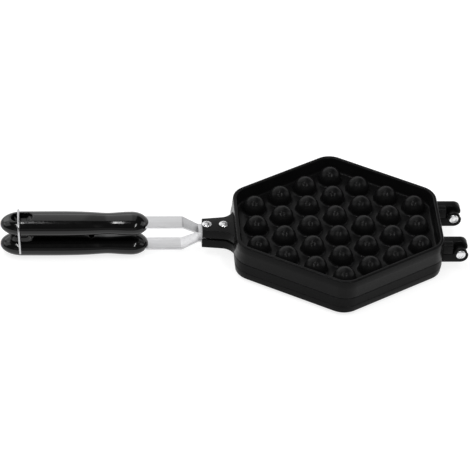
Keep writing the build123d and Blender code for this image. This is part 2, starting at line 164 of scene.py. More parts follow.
# %% floor and backdrop
def pale_finish(name, pale, glow_strength):
    """Pale and matt, lifted to white where it is seen, but still shaded by the pan."""
    material = bpy.data.materials.new(name)
    material.use_nodes = True
    nodes, links = material.node_tree.nodes, material.node_tree.links
    nodes.clear()
    matt = nodes.new("ShaderNodeBsdfDiffuse")
    matt.inputs["Color"].default_value = (pale, pale, pale, 1)
    glow = nodes.new("ShaderNodeEmission")
    strength = nodes.new("ShaderNodeMath")
    strength.operation = "MULTIPLY"
    strength.inputs[1].default_value = glow_strength
    links.new(background_rays(nodes, links), strength.inputs[0])
    links.new(strength.outputs[0], glow.inputs["Strength"])
    both = nodes.new("ShaderNodeAddShader")
    links.new(matt.outputs[0], both.inputs[0])
    links.new(glow.outputs[0], both.inputs[1])
    out = nodes.new("ShaderNodeOutputMaterial")
    links.new(both.outputs[0], out.inputs["Surface"])
    return material


def stage_piece(name, corners, faces, material):
    """A part of the room, which doesn't belong to the pan."""
    mesh = bpy.data.meshes.new(name)
    mesh.from_pydata(corners, [], faces)
    mesh.materials.append(material)
    piece = bpy.data.objects.new(name, mesh)
    scene.collection.objects.link(piece)
    return piece


FLOOR_PALE, FLOOR_GLOW = 0.45, 0.8
REAR_PALE, REAR_GLOW = 0.45, 0.8
FRONT_PALE, FRONT_GLOW = 0.24, 0.12
FLOOR_Z_M = -0.0006
ROOM_RADIUS, WALL_HEIGHT, ROOM_SIDES = 10.0, 6.0, 96
circle = [(math.cos(2 * math.pi * i / ROOM_SIDES), math.sin(2 * math.pi * i / ROOM_SIDES)) for i in range(ROOM_SIDES)]
foot = [(x * ROOM_RADIUS, y * ROOM_RADIUS, FLOOR_Z_M) for x, y in circle]
head = [(x * ROOM_RADIUS, y * ROOM_RADIUS, WALL_HEIGHT) for x, y in circle]
stage_piece("floor", foot, [tuple(range(ROOM_SIDES))], pale_finish("floor", FLOOR_PALE, FLOOR_GLOW))
wall_faces = [
    ((i + 1) % ROOM_SIDES, i, ROOM_SIDES + i, ROOM_SIDES + (i + 1) % ROOM_SIDES) for i in range(ROOM_SIDES)
]
half_way = ROOM_SIDES // 2
stage_piece("backdrop_rear", foot + head, wall_faces[:half_way], pale_finish("backdrop_rear", REAR_PALE, REAR_GLOW))
front_finish = pale_finish("backdrop_front", FRONT_PALE, FRONT_GLOW)
stage_piece("backdrop_front", foot + head, wall_faces[half_way:], front_finish)

# %% lamps and world
def soft_lamp(name, place, aim, size, radiance):
    """Square soft panel that the camera doesn't see, sized and set in metres, by its own brightness."""
    data = bpy.data.lights.new(name, "AREA")
    data.shape = "RECTANGLE"
    data.size, data.size_y = size
    data.energy = radiance * math.pi * size[0] * size[1]
    lamp = bpy.data.objects.new(name, data)
    lamp.location = place
    lamp.rotation_euler = (Vector(aim) - Vector(place)).to_track_quat("-Z", "Y").to_euler()
    lamp.visible_camera = False
    scene.collection.objects.link(lamp)
    return lamp


CEILING = 2.2
soft_lamp("panel_behind", (-1.18, 1.54, 1.84), (-1.18, 0, 0), (2.44, 2.34), 1.15)
soft_lamp("panel_behind_end", (0.29, 1.54, 1.84), (0.29, 0, 0), (0.5, 2.34), 0.65)
soft_lamp("panel_front", (-0.3, -2.6, 1.0), (-0.3, 0, 0), (3.0, 1.2), 0.2)
soft_lamp("panel_left", (-2.3, 0.1, 1.6), (0, 0, 0), (1.6, 1.6), 1.1)
soft_lamp("panel_right", (2.3, 0.1, 1.6), (0, 0, 0), (1.6, 1.6), 1.1)
soft_lamp("lamp_left", (-0.86, -1.2, CEILING), (-0.86, -1.2, 0), (0.14, 1.6), 18.0)
soft_lamp("lamp_right", (0.66, -1.2, CEILING), (0.66, -1.2, 0), (0.14, 1.6), 18.0)
soft_lamp("lamp_over", (-0.3, 0.0, CEILING), (-0.3, 0.0, 0), (0.1, 0.6), 20.0)

ROOM_LIGHT = 0.1
world = bpy.data.worlds.new("room")
world.use_nodes = True
world.node_tree.nodes["Background"].inputs["Strength"].default_value = ROOM_LIGHT
world.node_tree.nodes["Background"].inputs["Color"].default_value = (1, 1, 1, 1)
scene.world = world
scene.view_settings.view_transform = "Standard"

# %% [markdown]
# ## Finishes
# A finish is a small tree of nodes on one principled shader. Numbers that are the same all over
# stay on the shader's own sockets. What varies comes from noise in object coordinates, in metres,
# so a grain keeps its real size on every piece.

# %% shared nodes of every finish
def start_finish(name, color, metallic, roughness):
    """A material with one principled shader and its object coordinates."""
    material = bpy.data.materials.new(name)
    material.use_nodes = True
    nodes = material.node_tree.nodes
    shader = nodes["Principled BSDF"]
    shader.inputs["Base Color"].default_value = (*color, 1)
    shader.inputs["Metallic"].default_value = metallic
    shader.inputs["Roughness"].default_value = roughness
    coords = nodes.new("ShaderNodeTexCoord").outputs["Object"]
    return material, shader, coords


def noise(material, coords, scale, detail=3.0, stretch=(1, 1, 1)):
    """Noise at a scale per metre, drawn out along an axis where stretch is small."""
    nodes, links = material.node_tree.nodes, material.node_tree.links
    mapping = nodes.new("ShaderNodeMapping")
    mapping.inputs["Scale"].default_value = stretch
    links.new(coords, mapping.inputs["Vector"])
    texture = nodes.new("ShaderNodeTexNoise")
    texture.inputs["Scale"].default_value = scale
    texture.inputs["Detail"].default_value = detail
    links.new(mapping.outputs["Vector"], texture.inputs["Vector"])
    return texture.outputs["Fac"]


def spread(material, value, low, high, from_low=0.3, from_high=0.7):
    """A noise value spread between two limits."""
    nodes, links = material.node_tree.nodes, material.node_tree.links
    scale = nodes.new("ShaderNodeMapRange")
    scale.inputs["From Min"].default_value = from_low
    scale.inputs["From Max"].default_value = from_high
    scale.inputs["To Min"].default_value = low
    scale.inputs["To Max"].default_value = high
    links.new(value, scale.inputs["Value"])
    return scale.outputs["Result"]


def two_tone(material, value, dark, light):
    """Colour that runs from dark to light with a value."""
    nodes, links = material.node_tree.nodes, material.node_tree.links
    ramp = nodes.new("ShaderNodeValToRGB")
    ramp.color_ramp.elements[0].position = 0.3
    ramp.color_ramp.elements[0].color = (*dark, 1)
    ramp.color_ramp.elements[1].position = 0.72
    ramp.color_ramp.elements[1].color = (*light, 1)
    links.new(value, ramp.inputs["Fac"])
    return ramp.outputs["Color"]


def bumps(material, shader, layers):
    """Bump layers, each a height, a strength and a real depth in metres."""
    nodes, links = material.node_tree.nodes, material.node_tree.links
    previous = None
    for height, strength, depth in layers:
        bump = nodes.new("ShaderNodeBump")
        bump.inputs["Strength"].default_value = strength
        bump.inputs["Distance"].default_value = depth
        links.new(height, bump.inputs["Height"])
        if previous:
            links.new(previous, bump.inputs["Normal"])
        previous = bump.outputs["Normal"]
    links.new(previous, shader.inputs["Normal"])


# %% cast metal under a dark non-stick coat
def dark_coat():
    """Satin black coat: cloudy tone, uneven sheen, the cast grain and a fine sprayed texture."""
    material, shader, coords = start_finish("dark_coat", (0.0085, 0.0085, 0.0087), 0.0, 0.22)
    links = material.node_tree.links
    cloud = noise(material, coords, 45, 4)
    links.new(two_tone(material, cloud, (0.007, 0.007, 0.0072), (0.01, 0.01, 0.0102)), shader.inputs["Base Color"])
    links.new(spread(material, noise(material, coords, 160, 3), 0.19, 0.25), shader.inputs["Roughness"])
    shader.inputs["Specular IOR Level"].default_value = 0.08
    grain = noise(material, coords, 900, 3)
    spray = noise(material, coords, 3200, 2)
    bumps(material, shader, [(grain, 0.22, 0.0002), (spray, 0.25, 0.00006)])
    return material


# %% glossy black handle plastic
def black_plastic():
    """Polished moulding: near black, with the faint waviness of a thick moulded wall."""
    material, shader, coords = start_finish("black_plastic", (0.0025, 0.0025, 0.0026), 0.0, 0.1)
    links = material.node_tree.links
    tone = noise(material, coords, 60, 2)
    links.new(two_tone(material, tone, (0.002, 0.002, 0.0021), (0.003, 0.003, 0.0031)), shader.inputs["Base Color"])
    links.new(spread(material, noise(material, coords, 220, 4), 0.07, 0.14), shader.inputs["Roughness"])
    shader.inputs["Specular IOR Level"].default_value = 0.42
    wave = noise(material, coords, 28, 1, (0.5, 1, 1))
    fine = noise(material, coords, 1500, 2)
    bumps(material, shader, [(wave, 0.05, 0.0004), (fine, 0.05, 0.00003)])
    return material


# %% steel finishes
def steel(name, color, rough, line_scale, line_stretch, line_strength):
    """Steel with its working lines, drawn out along one axis, and a slightly uneven sheen."""
    material, shader, coords = start_finish(name, color, 1.0, sum(rough) / 2)
    links = material.node_tree.links
    lines = noise(material, coords, line_scale, 4, line_stretch)
    dark = tuple(0.88 * channel for channel in color)
    light = tuple(min(1.0, 1.08 * channel) for channel in color)
    links.new(two_tone(material, lines, dark, light), shader.inputs["Base Color"])
    links.new(spread(material, noise(material, coords, 300, 3), *rough), shader.inputs["Roughness"])
    bumps(material, shader, [(lines, line_strength, 0.00004)])
    return material


coat = dark_coat()
plastic = black_plastic()
strip_steel = steel("strip_steel", (0.66, 0.66, 0.67), (0.36, 0.46), 1600, (0.02, 1, 1), 0.18)
wire_steel = steel("wire_steel", (0.52, 0.52, 0.53), (0.18, 0.28), 900, (1, 1, 0.1), 0.1)
bright_steel = steel("bright_steel", (0.66, 0.66, 0.67), (0.2, 0.32), 1200, (1, 1, 1), 0.12)
rivet_steel = steel("rivet_steel", (0.84, 0.84, 0.85), (0.24, 0.36), 1200, (1, 1, 1), 0.12)
print("finishes:", [m.name for m in bpy.data.materials])

# %% finishes for the nodes that keep their own mesh
finish_of_slot = {
    "pan_coat": coat,
    "handle_plastic": plastic,
    "strip_steel": strip_steel,
    "wire_steel": wire_steel,
    "fastener_steel": bright_steel,
    "rivet_steel": rivet_steel,
}
slot_of_node = {entry["node"]: entry["material_slot"] for entry in frame["record"]["subparts"]}
for node_name, node in frame["nodes"].items():
    node.data.materials.clear()
    node.data.materials.append(finish_of_slot[slot_of_node[node_name]])

# %% [markdown]
# ## The cast halves
# Seen from outside, a half is a rounded six-sided tray: a flared wall with a rim band, a flat floor,
# and thirty domes. Its section is one line, so the tray is drawn as rings: every ring has the same
# number of points, and each next one is drawn in and set higher or lower. The floor is then filled
# with round holes where the domes stand.

# %% sizes of the casting
PITCH = 30.5                 # between eggs in a column
MIDDLE_EGGS = 6
SIDE_COLUMNS = 3
COLUMN_STEP = PITCH * math.cos(math.radians(30))
EGG_RADIUS = 9.0
DOME_RADIUS = 11.3
EGG_Z = 7.88
MOUTH_RADIUS = 10.4
MOUTH_ROUND = 0.8
FOOT_ROUND = 2.0
FACE_Z = 1.65
FLOOR_Z = 4.2
RIM_Z = (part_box("upper_pan")[1].z - pan_middle.z) / MM
PARTING_Z = 0.15
BASE_SIDE, BASE_END, BASE_CORNER = 88.08, 102.49, 21.5       # outline where the halves part
RECESS_SIDE, RECESS_END, RECESS_CORNER = 79.53, 92.74, 20.0
BAND_Z = RIM_Z - 8.0
RIM_INSET = 1.5
RIM_WIDTH = 3.7
DRAFT = math.tan(math.radians(3))
POCKET_ROUND = 2.5
AROUND = 48                  # faces around one egg
print("rim height above the parting plane, mm:", round(RIM_Z, 2))


# %% rings and arcs
def hexagon_ring(side, end, corner, inset=0.0, steps=8):
    """Rounded six-sided loop with flat ends across X, drawn in by inset."""
    apothems = [end, side, side, end, side, side]
    points = []
    for index in range(6):
        first = math.radians(60 * index)
        second = math.radians(60 * index + 60)
        reach_first = apothems[index] - corner
        reach_second = apothems[(index + 1) % 6] - corner
        spread_sine = math.sin(second - first)
        x = (reach_first * math.sin(second) - reach_second * math.sin(first)) / spread_sine
        y = (reach_second * math.cos(first) - reach_first * math.cos(second)) / spread_sine
        radius = corner - inset
        for step in range(steps + 1):
            angle = first + (second - first) * step / steps
            points.append((x + radius * math.cos(angle), y + radius * math.sin(angle)))
    return points


def arc(centre, radius, start, end, steps):
    """Points of an arc between two angles in degrees, both ends included."""
    angles = [math.radians(start + (end - start) * step / steps) for step in range(steps + 1)]
    return [(centre[0] + radius * math.cos(a), centre[1] + radius * math.sin(a)) for a in angles]


def add_loop(bm, outline, z):
    """Vertices of one closed loop at one height."""
    return [bm.verts.new((x, y, z)) for x, y in outline]


def bridge(bm, lower, upper):
    """Faces between two loops with as many points."""
    count = len(lower)
    for index in range(count):
        after = (index + 1) % count
        bm.faces.new((lower[index], lower[after], upper[after], upper[index]))


def loft(bm, loops):
    """Faces along a row of loops."""
    for lower, upper in zip(loops, loops[1:]):
        bridge(bm, lower, upper)


# %% where the eggs are
def egg_places():
    """Centres of the eggs, in columns that are one egg shorter further out."""
    places = []
    for column in range(-SIDE_COLUMNS, SIDE_COLUMNS + 1):
        eggs = MIDDLE_EGGS - abs(column)
        places += [(column * COLUMN_STEP, (row - (eggs - 1) / 2) * PITCH) for row in range(eggs)]
    return places


print("eggs in each half:", len(egg_places()))


# %% the wall and the two floors
def wall_section():
    """Insets and heights along the section, from the parting edge over the rim to the pocket floor."""
    rim_round = 1.2
    band_inset = RIM_INSET * (BAND_Z - PARTING_Z) / (RIM_Z - PARTING_Z)
    step_inset = band_inset + 0.4
    inner_inset = RIM_INSET + RIM_WIDTH
    floor_inset = inner_inset + DRAFT * (RIM_Z - FLOOR_Z - POCKET_ROUND)
    section = arc((0.4, PARTING_Z + 0.4), 0.4, 270, 180, 3)
    section += [(step_inset - 0.02, BAND_Z - 0.3), (step_inset - 0.1, BAND_Z - 0.08), (step_inset - 0.25, BAND_Z)]
    section += arc((band_inset + 0.15, BAND_Z + 0.15), 0.15, 270, 180, 3)
    section += arc((RIM_INSET + rim_round, RIM_Z - rim_round), rim_round, 180, 90, 6)
    section += arc((inner_inset - rim_round, RIM_Z - rim_round), rim_round, 90, 0, 6)
    section += arc((floor_inset + POCKET_ROUND, FLOOR_Z + POCKET_ROUND), POCKET_ROUND, 180, 270, 7)
    return section


def fill_round_holes(bm, radius, z):
    """Flat floor inside the open edge at a height, with a round hole at every egg."""
    for x, y in egg_places():
        hole = add_loop(bm, arc((x, y), radius, 0, 360 - 360 / AROUND, AROUND - 1), z)
        for index in range(AROUND):
            bm.edges.new((hole[index], hole[(index + 1) % AROUND]))
    flat = [edge for edge in bm.edges if all(abs(v.co.z - z) < 1e-6 for v in edge.verts) and len(edge.link_faces) < 2]
    bmesh.ops.triangle_fill(bm, use_beauty=True, use_dissolve=False, edges=flat)


def tray(bm):
    """The half without its eggs: closing land, wall, rim, pocket floor and cooking face."""
    outline = (BASE_SIDE, BASE_END, BASE_CORNER)
    loops = [add_loop(bm, hexagon_ring(*outline, inset), z) for inset, z in wall_section()]
    loft(bm, loops)
    fill_round_holes(bm, DOME_RADIUS + FOOT_ROUND, FLOOR_Z)
    recess = (RECESS_SIDE, RECESS_END, RECESS_CORNER)
    edge_section = arc((-0.5, PARTING_Z + 0.5), 0.5, 270, 360, 3)
    edge_section += arc((0.8, FACE_Z - 0.8), 0.8, 180, 90, 3)
    inner = [add_loop(bm, hexagon_ring(*recess, inset), z) for inset, z in edge_section]
    loft(bm, inner)
    bridge(bm, inner[0], loops[0])
    fill_round_holes(bm, MOUTH_RADIUS + MOUTH_ROUND, FACE_Z)


# %% [markdown]
# ## Thirty eggs from one
# Each egg is the same turned shape, so it is drawn once, as a line spun round its own axis. A
# Geometry Nodes tree then works out the lattice: a numbered point for every place in a full block
# of columns, a column number and a row number from it, and the places past the end of a short
# column deleted. Copies on those points become one plain mesh.

# %% one egg, outside and inside
def spun(section):
    """Mesh of a line of radii and heights turned about the upright axis, closed where it meets it."""
    bm = bmesh.new()
    loops = []
    for radius, z in section:
        loops.append(add_loop(bm, arc((0, 0), max(radius, 0.0), 0, 360 - 360 / AROUND, AROUND - 1), z))
    loft(bm, loops)
    bmesh.ops.remove_doubles(bm, verts=bm.verts, dist=0.0005)
    return bm


def egg_sections():
    """The outside with its rounded foot, and the inside with its widened mouth."""
    outside = arc((DOME_RADIUS + FOOT_ROUND, FLOOR_Z + FOOT_ROUND), FOOT_ROUND, 270, 180, 5)
    outside += arc((0, EGG_Z), DOME_RADIUS, 0, 90, 14)
    inside = arc((MOUTH_RADIUS + MOUTH_ROUND, FACE_Z + MOUTH_ROUND), MOUTH_ROUND, 270, 190, 4)
    inside += arc((0, EGG_Z), EGG_RADIUS, 0, 90, 12)
    return outside, inside


egg_mesh = bpy.data.meshes.new("egg_pattern")
egg_bm = bmesh.new()
for section in egg_sections():
    part = spun(section)
    part_mesh = bpy.data.meshes.new("egg_part")
    part.to_mesh(part_mesh)
    part.free()
    egg_bm.from_mesh(part_mesh)
egg_bm.to_mesh(egg_mesh)
egg_bm.free()
egg_pattern = bpy.data.objects.new("egg_pattern", egg_mesh)
print("faces in one egg:", len(egg_mesh.polygons))


# %% helpers for node trees
def new_tree(name, inputs):
    """Geometry Nodes tree with one geometry output and the named inputs."""
    tree = bpy.data.node_groups.new(name, "GeometryNodeTree")
    tree.interface.new_socket("Geometry", in_out="OUTPUT", socket_type="NodeSocketGeometry")
    for label, kind in inputs:
        tree.interface.new_socket(label, in_out="INPUT", socket_type=kind)
    return tree, tree.nodes.new("NodeGroupInput"), tree.nodes.new("NodeGroupOutput")


def math_node(tree, operation, first, second=None):
    """One arithmetic node, fed by sockets or numbers."""
    node = tree.nodes.new("ShaderNodeMath")
    node.operation = operation
    for socket, value in zip(node.inputs, (first, second)):
        if isinstance(value, (int, float)):
            socket.default_value = value
        elif value is not None:
            tree.links.new(value, socket)
    return node.outputs[0]


def run_tree(tree, values, start_mesh=None):
    """Runs a tree on a helper object and returns its result as a plain mesh."""
    helper = bpy.data.objects.new("helper", start_mesh or bpy.data.meshes.new("helper"))
    scene.collection.objects.link(helper)
    modifier = helper.modifiers.new("tree", "NODES")
    modifier.node_group = tree
    for item in tree.interface.items_tree:
        if item.item_type == "SOCKET" and item.in_out == "INPUT" and item.name in values:
            modifier[item.identifier] = values[item.name]
    bpy.context.view_layer.update()
    evaluated = helper.evaluated_get(bpy.context.evaluated_depsgraph_get())
    mesh = bpy.data.meshes.new_from_object(evaluated)
    bpy.data.objects.remove(helper)
    return mesh


def copies_out(tree, group_in, group_out, points):
    """Ends a tree: the named object copied to points, made real, and given its material."""
    source = tree.nodes.new("GeometryNodeObjectInfo")
    copies = tree.nodes.new("GeometryNodeInstanceOnPoints")
    real = tree.nodes.new("GeometryNodeRealizeInstances")
    finish = tree.nodes.new("GeometryNodeSetMaterial")
    links = tree.links
    links.new(group_in.outputs["Pattern"], source.inputs["Object"])
    links.new(points, copies.inputs["Points"])
    links.new(source.outputs["Geometry"], copies.inputs["Instance"])
    links.new(copies.outputs["Instances"], real.inputs["Geometry"])
    links.new(real.outputs["Geometry"], finish.inputs["Geometry"])
    links.new(group_in.outputs["Material"], finish.inputs["Material"])
    links.new(finish.outputs["Geometry"], group_out.inputs["Geometry"])


# %% the lattice tree
def egg_lattice():
    """Tree that copies an egg to every place of the six-sided lattice."""
    tree, group_in, group_out = new_tree("egg_lattice", [
        ("Pattern", "NodeSocketObject"), ("Material", "NodeSocketMaterial"), ("Pitch", "NodeSocketFloat"),
        ("Middle eggs", "NodeSocketInt"), ("Side columns", "NodeSocketInt"),
    ])
    links = tree.links
    middle = group_in.outputs["Middle eggs"]
    side = group_in.outputs["Side columns"]
    columns = math_node(tree, "ADD", math_node(tree, "MULTIPLY", side, 2), 1)
    index = tree.nodes.new("GeometryNodeInputIndex").outputs[0]
    column = math_node(tree, "SUBTRACT", math_node(tree, "FLOOR", math_node(tree, "DIVIDE", index, middle)), side)
    row = math_node(tree, "MODULO", index, middle)
    eggs = math_node(tree, "SUBTRACT", middle, math_node(tree, "ABSOLUTE", column))
    from_middle = math_node(tree, "SUBTRACT", row, math_node(tree, "DIVIDE", math_node(tree, "SUBTRACT", eggs, 1), 2))
    step = math_node(tree, "MULTIPLY", group_in.outputs["Pitch"], math.cos(math.radians(30)))
    place = tree.nodes.new("ShaderNodeCombineXYZ")
    links.new(math_node(tree, "MULTIPLY", column, step), place.inputs["X"])
    links.new(math_node(tree, "MULTIPLY", from_middle, group_in.outputs["Pitch"]), place.inputs["Y"])
    points = tree.nodes.new("GeometryNodePoints")
    links.new(math_node(tree, "MULTIPLY", columns, middle), points.inputs["Count"])
    links.new(place.outputs[0], points.inputs["Position"])
    past_end = tree.nodes.new("FunctionNodeCompare")
    past_end.operation = "GREATER_EQUAL"
    links.new(row, past_end.inputs["A"])
    links.new(eggs, past_end.inputs["B"])
    trimmed = tree.nodes.new("GeometryNodeDeleteGeometry")
    links.new(points.outputs[0], trimmed.inputs["Geometry"])
    links.new(past_end.outputs[0], trimmed.inputs["Selection"])
    copies_out(tree, group_in, group_out, trimmed.outputs["Geometry"])
    return tree


scene.collection.objects.link(egg_pattern)
eggs_mesh = run_tree(egg_lattice(), {
    "Pattern": egg_pattern, "Material": coat, "Pitch": PITCH,
    "Middle eggs": MIDDLE_EGGS, "Side columns": SIDE_COLUMNS,
})
bpy.data.objects.remove(egg_pattern)
print("faces in the lattice of eggs:", len(eggs_mesh.polygons))

# %% [markdown]
# ## Lug and hinge
# The lug is a block that grows out of the end wall in a hollow curve, and the hinge lobes are slices
# of one side view. Both are outlines pushed straight through and then given small bevels, so light
# catches their edges as it does on a fettled casting.

# %% outlines pushed through and bevelled
def push_through(outline, axis, start, end, bevel):
    """Solid of a closed outline between two places along an axis, with bevelled edges."""
    bm = bmesh.new()
    if axis == "z":
        low = [bm.verts.new((a, b, start)) for a, b in outline]
        high = [bm.verts.new((a, b, end)) for a, b in outline]
    else:
        low = [bm.verts.new((a, start, b)) for a, b in outline]
        high = [bm.verts.new((a, end, b)) for a, b in outline]
    bridge(bm, low, high)
    bm.faces.new(low[::-1])
    bm.faces.new(high)
    bmesh.ops.recalc_face_normals(bm, faces=bm.faces)
    if bevel:
        crisp = [edge for edge in bm.edges if edge.calc_face_angle() > math.radians(40) and edge.is_convex]
        bmesh.ops.bevel(bm, geom=crisp, offset=bevel, segments=3, profile=0.5, affect="EDGES")
    return bm


def merge_into(bm, part):
    """Adds one shape to another, and frees it."""
    mesh = bpy.data.meshes.new("part")
    part.to_mesh(mesh)
    part.free()
    bm.from_mesh(mesh)
    bpy.data.meshes.remove(mesh)


# %% the lug
WALL_ROOT_X = BASE_END - RIM_WIDTH
LUG_END_X = (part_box("upper_pan")[0].x - pan_middle.x) / MM
LUG_NECK_X = -113.0
LUG_LOW, LUG_HIGH = 1.2, 10.8
CHANNEL_HALF, CHANNEL_TOP = 7.05, 6.25


def lug_outline():
    """Plan of the lug: narrow end, a slow taper, then a hollow flare into the wall."""
    end_half, neck_half, flare = 9.1, 11.2, 13.8
    slope = math.degrees(math.atan2(neck_half - end_half, LUG_NECK_X - LUG_END_X))
    centre = (
        LUG_NECK_X - flare * math.sin(math.radians(slope)),
        neck_half + flare * math.cos(math.radians(slope)),
    )
    flank = [(LUG_END_X, end_half)] + arc(centre, flare, slope - 90, slope - 20, 9)
    flank.append((-WALL_ROOT_X, flank[-1][1]))
    return [(x, -y) for x, y in flank] + flank[::-1]


def cut(mesh, cutters):
    """A mesh with closed shapes cut from it."""
    body = bpy.data.objects.new("body", mesh)
    scene.collection.objects.link(body)
    tools = []
    for cutter in cutters:
        tool_mesh = bpy.data.meshes.new("tool")
        cutter.to_mesh(tool_mesh)
        cutter.free()
        tool = bpy.data.objects.new("tool", tool_mesh)
        scene.collection.objects.link(tool)
        modifier = body.modifiers.new("cut", "BOOLEAN")
        modifier.object = tool
        modifier.solver = "EXACT"
        tools.append(tool)
    bpy.context.view_layer.update()
    result = bpy.data.meshes.new_from_object(body.evaluated_get(bpy.context.evaluated_depsgraph_get()))
    for thing in tools + [body]:
        bpy.data.objects.remove(thing)
    return result


def lug_mesh():
    """Lug with the strip's channel cut out of its underside."""
    bm = push_through(lug_outline(), "z", LUG_LOW, LUG_HIGH, 0.5)
    mesh = bpy.data.meshes.new("lug")
    bm.to_mesh(mesh)
    bm.free()
    channel = push_through(
        [(LUG_END_X - 2, -CHANNEL_HALF), (-104.5, -CHANNEL_HALF), (-104.5, CHANNEL_HALF), (LUG_END_X - 2, CHANNEL_HALF)],
        "z", 0.0, CHANNEL_TOP, 0,
    )
    return cut(mesh, [channel])


# %% the hinge lobes
EAR_HEIGHT, EAR_REACH, EAR_CORNER = 9.9, 7.8, 7.5
EAR_TURN_RADIUS, KNUCKLE_RADIUS = 6.7, 5.0
SIDE_GAP = 0.3
FRONT_EAR, KNUCKLE, REAR_EAR = 3.0, 4.6, 8.0
LOBE_STARTS = (-33.7, 20.8)
BLOCK_X = HINGE_X - EAR_REACH - SIDE_GAP
BRIDGE_X = BLOCK_X + 0.25              # stays clear of the other half's ear at 180 degrees
INSIDE_WALL = 0.05                       # each slice is rooted a little deeper than the one before


def disc_arc(radius):
    """The part of a circle about the pin that crosses the parting plane, from the wall's side round."""
    tilt = math.degrees(math.asin(PARTING_Z / radius))
    return arc((HINGE_X, 0), radius, -180 - tilt, tilt, 30)


def ear_outline(root):
    """Side view of an ear: squarish on its own side, round about the pin on the other."""
    corner = (HINGE_X + EAR_REACH - EAR_CORNER, EAR_HEIGHT - EAR_CORNER)
    end = [(HINGE_X + EAR_REACH, PARTING_Z)] + arc(corner, EAR_CORNER, 0, 90, 12)
    return disc_arc(EAR_TURN_RADIUS) + end + [(root, EAR_HEIGHT), (root, PARTING_Z)]


def knuckle_outline(root):
    """Side view of the knuckle with its thin arm."""
    return arc((HINGE_X, 0), KNUCKLE_RADIUS, -178, 90, 30) + [(root, KNUCKLE_RADIUS), (root, PARTING_Z)]


def block_outline(root, end_x):
    """Side view of a plain arm that stops before the other half's ear."""
    return [(root, PARTING_Z), (end_x, PARTING_Z), (end_x, EAR_HEIGHT), (root, EAR_HEIGHT)]


def add_slices(bm, slices):
    """Slices of a lobe, each an outline maker with its own values, a start, an end and a bevel."""
    for index, (outline, values, start, end, bevel) in enumerate(slices):
        root = WALL_ROOT_X - INSIDE_WALL * index
        merge_into(bm, push_through(outline(root, *values), "y", start, end, bevel))


def upper_lobe(bm, start):
    """Rear ear, the bridge over the knuckle and the block above the front ear's arm."""
    ear_end = start + FRONT_EAR
    rear = ear_end + KNUCKLE + SIDE_GAP
    add_slices(bm, [
        (ear_outline, (), rear, rear + REAR_EAR, 0.7),
        (block_outline, (BRIDGE_X,), ear_end + SIDE_GAP - 0.7, rear + 1.0, 0.3),
        (block_outline, (BLOCK_X,), start, ear_end + SIDE_GAP, 0.5),
    ])


def lower_lobe(bm, start):
    """Front ear, knuckle and the block under the rear ear's arm, drawn as for an upper half."""
    ear_end = start + FRONT_EAR
    knuckle_end = ear_end + KNUCKLE
    add_slices(bm, [
        (ear_outline, (), start, ear_end, 0.7),
        (knuckle_outline, (), ear_end - 0.9, knuckle_end, 0.3),
        (block_outline, (BRIDGE_X,), ear_end - 0.8, knuckle_end + 0.6, 0.3),
        (block_outline, (BLOCK_X,), knuckle_end - 0.5, knuckle_end + SIDE_GAP + REAR_EAR, 0.5),
    ])


# %% both halves
def casting(lobe):
    """One half, drawn as the upper one: tray, eggs, lug and its lobes."""
    bm = bmesh.new()
    tray(bm)
    bm.from_mesh(eggs_mesh)
    bmesh.ops.remove_doubles(bm, verts=bm.verts, dist=0.002)
    bmesh.ops.recalc_face_normals(bm, faces=bm.faces)
    bm.from_mesh(lug_mesh())
    for start in LOBE_STARTS:
        lobe(bm, start)
    return bm


make_piece("upper_casting", casting(upper_lobe), coat, "upper_half", ["upper_pan"])
lower_bm = casting(lower_lobe)
lower_bm.transform(Matrix.Scale(-1, 4, (0, 0, 1)))
make_piece("lower_casting", lower_bm, coat, "lower_half", ["lower_pan"])

# %% [markdown]
# ## Handles
# A handle is a turned shape pressed to an oval, so one line of half widths gives its whole skin.
# Polished plastic shows every flaw in a mesh, so the hanging hole isn't cut with a boolean. The
# skin is laid out flat, the hole's edge is drawn on it, and a Delaunay fill joins the two. Every
# point then goes back onto the true oval, and the rounded edge of the hole is lofted down from it.

# %% sizes of the handles
HANDLE_Z = 12.4                          # middle height of the upper handle
HANDLE_END_X, NOSE_X = -328.7, -184.7
KNOB_X, KNOB_LENGTH, KNOB_HALF = -307.0, 21.7, 14.7
BULGE_X, NOSE_LENGTH, BULGE_HALF = -201.0, 16.3, 14.04
WIDEST_HALF, WAIST_HALF = 14.8, 12.64
OVAL = 9.9 / 14.8                        # height over width
HOLE_X, HOLE_HALF_RUN, HOLE_HALF_WIDTH, HOLE_ROUND = -307.8, 4.1, 6.1, 1.5
SADDLE_RADIUS, SHOULDER_X = 33.7, -310.0
SCREW_X, SCREW_SEAT_Z, COUNTERBORE = -240.0, 9.5, 2.8
GRIP = BULGE_X - KNOB_X
GRIP_STATIONS = [
    (KNOB_X, KNOB_HALF), (KNOB_X + 0.30 * GRIP, WIDEST_HALF), (KNOB_X + 0.56 * GRIP, WIDEST_HALF - 0.6),
    (KNOB_X + 0.67 * GRIP, (WIDEST_HALF + WAIST_HALF) / 2 - 0.3), (KNOB_X + 0.78 * GRIP, WAIST_HALF),
    (KNOB_X + 0.89 * GRIP, (WAIST_HALF + BULGE_HALF) / 2 + 0.15), (BULGE_X, BULGE_HALF),
]


# %% the line of half widths
def spline_slopes(points):
    """Slopes of the smoothest curve through the points that is level at both ends."""
    slopes = [0.0] * len(points)
    for _ in range(60):
        for index in range(1, len(points) - 1):
            (x0, y0), (x1, y1), (x2, y2) = points[index - 1:index + 2]
            before, after = 1 / (x1 - x0), 1 / (x2 - x1)
            pull = 3 * ((y1 - y0) * before ** 2 + (y2 - y1) * after ** 2)
            pull -= before * slopes[index - 1] + after * slopes[index + 1]
            slopes[index] = pull / (2 * (before + after))
    return slopes


GRIP_SLOPES = spline_slopes(GRIP_STATIONS)


